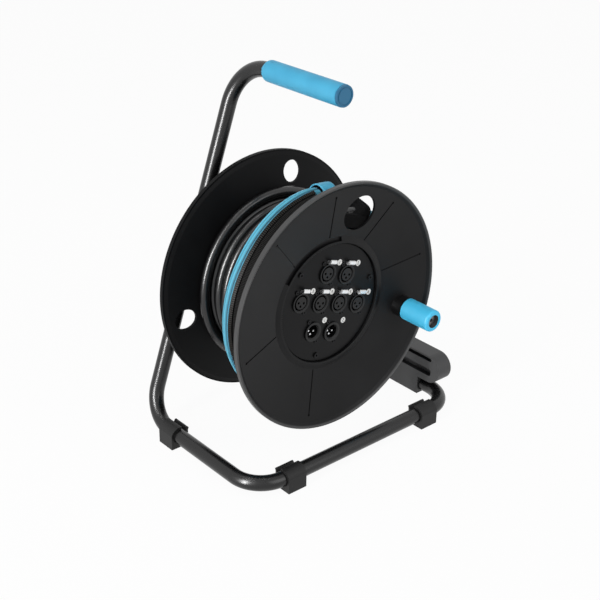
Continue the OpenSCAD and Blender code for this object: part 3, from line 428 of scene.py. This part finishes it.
def cable_path():
    """The multicore's centre line by its winding angle a. The under layer keeps one
    radius up to CLIMB_FROM and steps back to the rear flange, half a pitch beside the
    turns over it. The cable climbs to the outer layer, and from MOUNT_FROM on top of its
    own first turn. That turn drops beside the next one as it steps over, on a quarter
    circle about it, and all others keep the layer's radius. From LAYER_END the end rises
    into the sleeve's mouth."""
    a = np.arange(UNDER_FROM, SLEEVE_START + 0.1, 3.0)
    steps = steps_over(a)
    under_y = REAR_TURN_Y + TURN_PITCH * (steps + 0.5)
    up = smooth((a - CLIMB_FROM) / CLIMB_OVER)
    into = smooth((a - LAYER_END) / (SLEEVE_START - LAYER_END))
    on_top = np.where(a < STEP_FROM, smooth((a - MOUNT_FROM) / MOUNT_OVER),
                      np.sqrt(np.maximum(0, 1 - np.clip(steps, 0, 1) ** 2)))
    y = np.where(a < CLIMB_FROM + CLIMB_OVER, under_y + (REAR_TURN_Y - under_y) * up,
                 REAR_TURN_Y - TURN_PITCH * np.maximum(0, steps))
    r = UNDER_R + (LAYER_R - UNDER_R) * up + TURN_PITCH * on_top
    # Each turn lies a little proud or low, as hand-wound cable does
    slack = 0.22 * np.sin(np.radians(a * 0.61 + 40)) + 0.14 * np.sin(np.radians(a * 1.37))
    r = r + slack * smooth((a + 240) / 60) * (1 - into)
    y = y + (MOUTH_Y - y) * into
    r = r + (SLEEVE_RING - MOUTH_DROP - LAYER_R) * into
    thick = UNDER_CABLE_R + (CABLE_R - UNDER_CABLE_R) * up
    return round_axis(-a, r, y), thick


def wound_cable(finish):
    """Tube of 16 sides along the whole winding path."""
    points, thick = cable_path()
    angle = np.arange(16) * 22.5
    grid = swept(points, np.repeat(thick[:, None], 16, 1), angle)
    mesh = grid_mesh("wound_multicore", grid)
    made = link("wound_multicore", mesh, finish, "drum")
    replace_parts(made, "winding_outer_layer", "winding_core")


# ---------------------------------------------------------- fan-out sleeve

def sleeve_path(step=1.0, start=SLEEVE_START, end=SLEEVE_END):
    """Winding angles and centre line of the sleeve: within 36 degrees of its mouth it
    moves out to its ring and to its place beside the winding, and its free end lies
    3.8 mm higher."""
    a = np.arange(start, end + 0.01, step)
    settle = smooth((a - SLEEVE_START) / 36)
    lift = 3.8 * smooth((a - SLEEVE_START - 268) / 50)
    return a, round_axis(-a, SLEEVE_RING - MOUTH_DROP * (1 - settle) + lift,
                         MOUTH_Y + (SLEEVE_Y - MOUTH_Y) * settle)


def creases(t, phi):
    """Depth of the lengthwise creases beside the zip, which wander a little: t is the
    way from the sleeve's mouth in degrees, phi the section angle."""
    depth = 0 * t * phi
    for angle, wide, deep in CREASES:
        wander = 3 * np.sin(np.radians(2.3 * t + angle * 5))
        depth += deep * smooth(t / SWELL_OVER) * np.exp(-((phi - angle - wander) / wide) ** 2)
    return depth


def sleeve_radius(a, angle):
    """Sleeve's radius by winding angle and section angle: it swells from the cable, has
    soft waves and four sharper folds that wander round it, and draws in before the
    strap. Waves and folds fade at the mouth and halve near the end."""
    t = (a - SLEEVE_START)[:, None]
    phi = angle[None, :]
    swell = NECK_R + (SLEEVE_R - NECK_R) * smooth(t / SWELL_OVER) - creases(t, phi)
    waves = sum(deep * np.sin(np.radians(count * phi + drift * t + start))
                for count, drift, start, deep in WAVES)
    folds = -np.abs(np.sin(np.radians(2 * phi + 0.5 * t + 35))) ** 8 * 0.8
    draw = (SLEEVE_R - END_R) * smooth((t - 324) / 18)
    sunk = 0.85 * smooth(t / 30)
    soft = 0.8 * smooth(t / 40) * (1 - 0.5 * smooth((t - 300) / 30))
    return swell - draw - sunk + (waves + folds) * soft


def sleeve(finish):
    """The fabric sleeve as one swept skin on its path, hollow over its last 12 degrees.
    Its colour carries painted shade in the creases, under the rim and inside, and painted
    light a tenth over its colour elsewhere."""
    hollow = 12
    a, points = sleeve_path()
    angle = np.arange(96) * 3.75
    radius = sleeve_radius(a, angle)
    inside = swept(points, radius - CLOTH_THICK, angle)[-hollow:]
    grid = np.concatenate([swept(points, radius, angle), inside[::-1]])
    # Painted shade in the creases and under the rim, painted light of a tenth elsewhere, and deep painted shade
    # inside the hollow end
    painted_light = 1.1 - 0.56 * creases((a - SLEEVE_START)[:, None], angle[None, :])
    painted_light -= 0.25 * smooth((angle - 88) / 16) * smooth((200 - angle) / 30)
    painted_light = np.concatenate([painted_light, np.full((hollow, len(angle)), 0.15)])
    mesh = grid_mesh("fanout_sleeve_cloth", grid, shade=np.clip(painted_light, 0.1, 1.1))
    made = link("fanout_sleeve_cloth", mesh, finish, "drum")
    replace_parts(made, "fanout_sleeve")


def box_section(phi):
    """Depth and radius, from -1 to 1, of a rounded box: a superellipse of power 5."""
    return [np.sign(v) * np.abs(v) ** 0.4 for v in (np.cos(phi), np.sin(phi))]


def sleeve_wrap(finish):
    """Black cloth folded round the multicore where it enters the sleeve: rounded box
    sections between two world angles, whose top climbs from the cable to a straight
    edge across the winding."""
    start, climb, end, low, middle_y = 75.5, 69.5, 57, 102.2, 42
    world = np.linspace(start, end, 60)
    phi = np.radians(np.arange(0, 360, 5.0))
    t = (start - world) / (start - end)
    round_end = np.maximum(0, 1 - np.abs(2 * t - 1) ** 14) ** (1 / 3)
    top = 112.5 + 14.5 * smooth((climb - world) / 8) + 0.8 * np.sin(np.radians(world * 150))
    box_y, box_r = box_section(phi)
    half = (top - low) / 2 * (0.35 + 0.65 * round_end)
    fold = 0.6 * np.sin(3 * phi + 1)[None, :] * np.sin(t * 9)[:, None]
    y = middle_y + (22 * (0.6 + 0.4 * round_end))[:, None] * box_y + fold
    radius = ((top + low) / 2)[:, None] + half[:, None] * box_r + 0.2 * (y - middle_y)
    grid = round_axis(np.repeat(world[:, None], len(phi), 1), radius, y)
    link("sleeve_wrap", grid_mesh("sleeve_wrap", grid), finish, "drum")


def sleeve_wrap_flap(finish):
    """Narrow wavy edge of that cloth, which lies in front of it."""
    world = np.linspace(81, 52, 60)
    phi = np.radians(np.arange(0, 360, 5.0))
    box_y, box_r = box_section(phi)
    bend = 1.5 * np.sin(np.radians(9 * world))[:, None]
    grid = round_axis(np.repeat(world[:, None], len(phi), 1),
                      102.5 + 8.5 * box_r + bend * 0.3, 22.5 + 3.5 * box_y + bend * 0.6)
    link("sleeve_wrap_flap", grid_mesh("sleeve_wrap_flap", grid), finish, "drum")


def zip_tape(finish):
    """The zip's black tape, 0.6 mm proud of the sleeve, with both edges turned down."""
    a, points = sleeve_path(1.0, SLEEVE_START + 12, STRAP_AT - 8)
    angle = np.linspace(TAPE_FROM, TAPE_TO, 24)
    radius = sleeve_radius(a, angle) + 0.6
    radius[:, [0, -1]] -= 0.7
    mesh = grid_mesh("zip_tape", swept(points, radius, angle), wrap=False, caps=False)
    made = link("zip_tape", mesh, finish, "drum")
    made.modifiers.new("thickness", "SOLIDIFY").thickness = 0.0006
    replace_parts(made, "sleeve_zip")


BRICK = np.array([(x, y, z) for x in (-1, 1) for y in (-1, 1) for z in (-1, 1)], float)
BRICK_FACES = np.array(((0, 1, 3, 2), (4, 6, 7, 5), (0, 4, 5, 1), (2, 3, 7, 6), (0, 2, 6, 4),
                        (1, 5, 7, 3)))


def bricks(name, half_sizes, frames, finish):
    """One mesh with a small brick at each frame. A frame holds an origin and three
    directions (4, 3), and half_sizes are the brick's along those directions."""
    origin, axes = frames[:, 0], frames[:, 1:]
    points = origin[:, None, :] + np.einsum("pk,nkc->npc", BRICK * half_sizes, axes)
    faces = BRICK_FACES[None] + (np.arange(len(frames)) * len(BRICK))[:, None, None]
    mesh = bpy.data.meshes.new(name)
    mesh.from_pydata((points.reshape(-1, 3) / 1000).tolist(), [],
                     faces.reshape(-1, 4).tolist())
    mesh.update()
    link(name, mesh, finish, "drum")


def along_sleeve(angle, lift, spacing, start, end):
    """Frames (origin; along the sleeve, round it and away from it) at a section angle,
    at a height over the sleeve's skin, every so many mm."""
    step = spacing / SLEEVE_RING * 180 / math.pi
    a, points = sleeve_path(step, start, end)
    tangent, out, across = path_frames(points)
    away = across * math.cos(math.radians(angle)) + out * math.sin(math.radians(angle))
    radius = sleeve_radius(a, np.array([angle])) + lift
    return np.stack([points + away * radius, tangent, np.cross(away, tangent), away], 1)


def zip_teeth(finish):
    """Moulded teeth of the closed zip: ribs 1.2 mm along and 4.6 mm wide, every 2.3 mm."""
    frames = along_sleeve(TEETH_AT, 0.75, 2.3, ZIP_FROM, ZIP_TO)
    bricks("zip_teeth", (0.6, 2.3, 0.6), frames, finish)


def zip_cord(finish):
    """Ribbed cord beside the teeth, under the rim: ribs 1 mm along, every 1.7 mm."""
    frames = along_sleeve(CORD_AT, 0.55, 1.7, ZIP_FROM, ZIP_TO)
    bricks("zip_cord", (0.5, 2.9, 0.45), frames, finish)


def stitches(finish):
    """Lock stitches beside the tape's two edges: dashes 2 mm long, every 3 mm."""
    rows = [along_sleeve(angle, 0.15, 3.0, ZIP_FROM, ZIP_TO - 0.5) for angle in STITCHES_AT]
    bricks("sleeve_stitching", (1.0, 0.22, 0.25), np.vstack(rows), finish)


def sleeve_end(finish):
    """Black sheet over the sleeve's last 13 degrees, 0.4 mm proud, with both edges tucked
    under the skin: painted shade where the sleeve's end runs into the strap."""
    a, points = sleeve_path(0.5, SLEEVE_END - 13, SLEEVE_END - 0.5)
    angle = np.arange(64) * 5.625
    radius = sleeve_radius(a, angle) + 0.4
    radius[[0, -1]] -= 0.7
    # Painted shade over the sleeve's end
    mesh = grid_mesh("sleeve_end_painted_shade", swept(points, radius, angle), caps=False)
    link("sleeve_end_painted_shade", mesh, finish, "drum")


def strap_band(name, finish, inset, half_wide, thick):
    """Band round the sleeve's free end: a closed curve that lies on the sleeve inwards
    and stands up in an arch outwards; inset moves it towards the sleeve."""
    at = np.array([-STRAP_AT])
    centre = round_axis(at, SLEEVE_RING + 2.2, SLEEVE_Y)[0]
    out = (round_axis(at, 1.0, 0.0) - round_axis(at, 0.0, 0.0))[0]
    back = np.array([0.0, 1.0, 0.0])
    along = np.cross(out, back)
    phi = np.radians(np.arange(0, 360, 3.75))
    radius = STRAP_R - inset + 3.8 * np.maximum(0, np.sin(phi)) ** 1.2
    ring = (centre + back * (radius * np.cos(phi))[:, None]
            + out * (radius * np.sin(phi) + 0.4)[:, None])
    wide = np.linspace(-half_wide, half_wide, 9)
    belly = 0.25 * (1 - (wide / half_wide) ** 2)
    away = back * np.cos(phi)[:, None] + out * np.sin(phi)[:, None]
    grid = (ring[None] + along * wide[:, None, None] + away[None] * belly[:, None, None])
    made = link(name, grid_mesh(name, grid, caps=False), finish, "drum")
    shell = made.modifiers.new("thickness", "SOLIDIFY")
    shell.thickness = thick
    shell.offset = 1.0
    return made


# ------------------------------------------------------------------- crank

def crank_recess_shade(finish):
    """Black cup, 0.4 mm thick, in the recess in the end of the crank's grip: painted shade
    in that recess. Its profile by radius and depth, round the crank's spindle."""
    end_y, outer, inner, lip = FRONT_RIM_Y - 45.8, 8.45, 8.05, 7.25
    profile = ((outer, 0.3), (outer, 7.9), (lip, 7.9), (lip, 7.5), (inner, 7.5), (inner, 0.3),
               (outer, 0.3))
    phi = np.radians(np.arange(0, 360, 7.5))
    grid = np.array([np.stack([CRANK[0] + r * np.cos(phi), end_y + depth + 0 * phi,
                               CRANK[2] + r * np.sin(phi)], -1) for r, depth in profile])
    mesh = grid_mesh("crank_recess_shade", grid, caps=False)
    link("crank_recess_shade", mesh, finish, "crank")


# ------------------------------------------------------------ panel's marks

def on_panel(points):
    """Points (x, y back from the front rim, z) of the drum at rest, as it stands turned."""
    turn = math.radians(DRUM_TURN)
    c, s = math.cos(turn), math.sin(turn)
    x, y, z = points[..., 0], points[..., 1], points[..., 2]
    return np.stack([AXIS[0] + x * c + z * s, FRONT_RIM_Y + y, AXIS[2] - x * s + z * c], -1)


SPOTS = [(a * PITCH_X + DISC_X, b * PITCH_Z + DISC_Z, str(i + 1))
         for group in (FEMALE_AT, MALE_AT) for i, (a, b) in enumerate(group)]


def number_discs(finish):
    """A white disc with a chamfered edge beside each connector."""
    phi = np.radians(np.arange(0, 360, 10.0))
    rings = [np.stack([x + r * np.cos(phi), PANEL_Y - high + 0 * phi, z + r * np.sin(phi)], -1)
             for x, z, _ in SPOTS
             for r, high in ((DISC_R, 0.02), (DISC_R, 0.1), (DISC_R - 0.2, DISC_HIGH))]
    points = on_panel(np.concatenate(rings))
    n = len(phi)
    faces = []
    for base in range(0, len(points), 3 * n):
        for ring in (0, 1):
            faces += [[base + ring * n + j, base + (ring + 1) * n + j,
                       base + (ring + 1) * n + (j + 1) % n, base + ring * n + (j + 1) % n]
                      for j in range(n)]
        faces.append([base + 2 * n + j for j in range(n)][::-1])
        faces.append([base + j for j in range(n)])
    mesh = bpy.data.meshes.new("number_discs")
    mesh.from_pydata((points / 1000).tolist(), [], faces)
    mesh.update()
    link("number_discs", mesh, finish, "drum")


def numbers(finish):
    """A plain number on each disc, as a mesh 0.06 mm thick."""
    for i, (x, z, digit) in enumerate(SPOTS):
        curve = bpy.data.curves.new("digit", "FONT")
        curve.body = digit
        curve.align_x = "CENTER"
        curve.align_y = "CENTER"
        curve.size = DIGIT_SIZE
        curve.extrude = 0.03
        holder = bpy.data.objects.new("digit", curve)
        bpy.context.scene.collection.objects.link(holder)
        mesh = bpy.data.meshes.new_from_object(
            holder.evaluated_get(bpy.context.evaluated_depsgraph_get()))
        bpy.data.objects.remove(holder)
        flat = np.zeros(len(mesh.vertices) * 3)
        mesh.vertices.foreach_get("co", flat)
        flat = flat.reshape(-1, 3)
        middle = (flat.max(0) + flat.min(0)) / 2
        placed = np.stack([x + flat[:, 0] - middle[0], PANEL_Y - DIGIT_HIGH - flat[:, 2],
                           z + flat[:, 1] - middle[1]], -1)
        mesh.vertices.foreach_set("co", (on_panel(placed) / 1000).ravel())
        mesh.update()
        mesh.materials.clear()
        link("number_%d" % (i + 1), mesh, finish, "drum")


# ------------------------------------------------------------------- stage

def seen_by(tree, *rays):
    """1 for the named kinds of ray, else 0."""
    path = add(tree, "ShaderNodeLightPath")
    seen = path.outputs[rays[0]]
    for ray in rays[1:]:
        seen = add(tree, "ShaderNodeMath", {0: seen, 1: path.outputs[ray]},
                   operation="MAXIMUM").outputs[0]
    return seen


def surroundings():
    """White where seen or mirrored, and a low even light on the object."""
    scene = bpy.context.scene
    scene.view_settings.view_transform = "Standard"
    world = bpy.data.worlds.new("studio")
    scene.world = world
    world.use_nodes = True
    tree = world.node_tree
    tree.nodes.clear()
    seen = seen_by(tree, "Is Camera Ray", "Is Glossy Ray", "Is Transmission Ray")
    level = add(tree, "ShaderNodeMapRange", {"Value": seen, "To Min": 0.3, "To Max": 1.0})
    back = add(tree, "ShaderNodeBackground",
               {"Color": (1, 1, 1, 1), "Strength": level.outputs["Result"]})
    add(tree, "ShaderNodeOutputWorld", {"Surface": back.outputs[0]})


def white_floor():
    """Paper floor that glows nearly white where it is seen, under a faint shadow."""
    side = FLOOR_HALF
    mesh = bpy.data.meshes.new("floor")
    mesh.from_pydata([(-side, -side, 0), (side, -side, 0), (side, side, 0), (-side, side, 0)],
                     [], [(0, 1, 2, 3)])
    floor = bpy.data.objects.new("floor", mesh)
    bpy.context.scene.collection.objects.link(floor)
    paint = bpy.data.materials.new("white_backdrop_paper")
    paint.use_nodes = True
    tree = paint.node_tree
    tree.nodes.clear()
    seen = seen_by(tree, "Is Camera Ray", "Is Glossy Ray")
    diffuse = add(tree, "ShaderNodeBsdfDiffuse", {"Color": (0.9, 0.9, 0.9, 1)})
    glow = add(tree, "ShaderNodeEmission", {"Color": (1, 1, 1, 1), "Strength": 1.0})
    share = add(tree, "ShaderNodeMath", {0: seen, 1: 0.95}, operation="MULTIPLY")
    mix = add(tree, "ShaderNodeMixShader",
              {"Fac": share.outputs[0], 1: diffuse.outputs[0], 2: glow.outputs[0]})
    add(tree, "ShaderNodeOutputMaterial", {"Surface": mix.outputs[0]})
    mesh.materials.append(paint)


def lamps():
    """Area lamps, which light the object at a plain level."""
    for name, place, wide, high, power in LAMPS:
        lamp = bpy.data.lights.new(name, "AREA")
        lamp.shape = "RECTANGLE"
        lamp.size = wide
        lamp.size_y = high
        lamp.energy = power
        made = bpy.data.objects.new(name, lamp)
        made.visible_diffuse = name != "left_sheen"
        bpy.context.scene.collection.objects.link(made)
        made.location = place
        aim = Vector(LAMP_TARGET) - Vector(place)
        made.rotation_euler = aim.to_track_quat("-Z", "Y").to_euler()


# ------------------------------------------------------------------- build

main_camera()
surroundings()
white_floor()
lamps()

steel = powder_coated_steel()
# One blue rubber in two copies: the crank's is written lighter than the grip's, painted light where the lamps
# light the crank less
grip = blue_rubber("blue_rubber_grip", "#37A3CC", "#40ADD5")
crank = blue_rubber("blue_rubber_crank_painted_light", "#46CAF8", "#50D2FF")
cap = blue_cap_plastic()
spool = moulded_plastic("moulded_black_abs", "#0F0F10", "#161617", 0.4, 0.6, 0.17, rim=True)
# A darker, less glossy copy of the spool's plastic for the rear flange: its darker colour is painted shade
shaded_spool = moulded_plastic("matt_black_abs_painted_shade", "#060607", "#0B0B0C", 0.5, 0.6, 0.1)
bracket = moulded_plastic("moulded_glass_filled_nylon", "#2C2C2D", "#363637", 0.45, 0.8, 0.5)
clip = moulded_plastic("moulded_black_polypropylene", "#101010", "#161616", 0.5)
panel = moulded_plastic("satin_black_panel", "#0C0C0D", "#111112", 0.38, 0.4, 0.14)
insert = moulded_plastic("black_nylon_insert", "#0E0E0F", "#131314", 0.45, 0.4)
shell = coated_diecast()
zinc = plated_metal("zinc_plated_steel", "#A6A9AD", 0.34)
oxide = plated_metal("black_oxide_steel", "#2A2A2B", 0.42)
phosphate = plated_metal("phosphated_steel", "#7A7B7D", 0.3)
nickel = plated_metal("bright_nickel_plate", "#ECEDEE", 0.4)
silver = plated_metal("silver_plated_brass", "#DCDDDF", 0.22)
brass = plated_metal("brass_contact_sleeve", "#B08D45", 0.3)
nylon = moulded_plastic("natural_nylon_bush", "#D8D5CB", "#E2DFD6", 0.5, 0.5)
pvc = pvc_jacket()
cloth = woven("woven_blue_nylon", "#4CAECC", "#70D2F0", 0.9, 0.7, painted_light=True)
strap_cloth = woven("blue_nylon_webbing", "#46B2DA", "#64CAEC", 1.2, 0.7)
tape = woven("woven_zip_tape", "#040404", "#0B0B0C", 0.8, 0.9, 0.0, 0.05)
cuff_cloth = woven("woven_black_nylon", "#040404", "#0D0D0E", 0.9, 0.8, 0.0, 0.08)
teeth = plain_moulding("moulded_zip_teeth", "#24221F", 0.5, 0.2)
cord = plain_moulding("woven_zip_cord", "#1C1B1A", 0.55, 0.25)
thread = plain_moulding("blue_sewing_thread", "#2C86B4", 0.8)
white_ink = plain_moulding("white_screen_print", "#F2F2F0", 0.55)
black_ink = plain_moulding("black_screen_print", "#111112", 0.55)

FINISHES = {
    "black_powder_coat": steel, "blue_rubber": grip, "dark_blue_plastic": cap,
    "black_plastic": clip, "black_moulding": spool, "black_panel": panel,
    "connector_shell": shell, "zinc_steel": zinc, "black_steel": oxide,
    "bright_nickel": nickel, "silver_plate": silver, "brass_contact": brass,
    "white_nylon": nylon, "black_pvc": pvc, "blue_fabric": strap_cloth,
    "black_tape": tape, "blue_plastic": grip,
}
# Nodes whose finish isn't their slot's
BY_NODE = {"bearing_bracket": bracket, "rear_flange": shaded_spool, "panel_screws": oxide,
           "crank_spindle": phosphate, "crank_grip": crank}


def finish_nodes():
    """Gives every CAD node the finish of its record slot, or its own."""
    slots = {s["node"]: s["material_slot"] for s in frame["record"]["subparts"]}
    for name, obj in frame["nodes"].items():
        chosen = insert if "_insert_" in name else BY_NODE.get(name, FINISHES[slots[name]])
        obj.data.materials.clear()
        obj.data.materials.append(chosen)


finish_nodes()
wound_cable(pvc)
sleeve(cloth)
sleeve_wrap(cuff_cloth)
sleeve_wrap_flap(cuff_cloth)
zip_tape(tape)
zip_teeth(teeth)
zip_cord(cord)
stitches(thread)
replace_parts(strap_band("sleeve_strap_webbing", strap_cloth, 0, 9.8, 0.0014),
            "sleeve_strap")
# A black band inside the strap's webbing: painted shade under the strap's arch
strap_band("sleeve_strap_painted_shade", cuff_cloth, 2.0, 9.2, 0.0003)
sleeve_end(cuff_cloth)
# Painted shade in the crank grip's recess
crank_recess_shade(insert)
number_discs(white_ink)
numbers(black_ink)
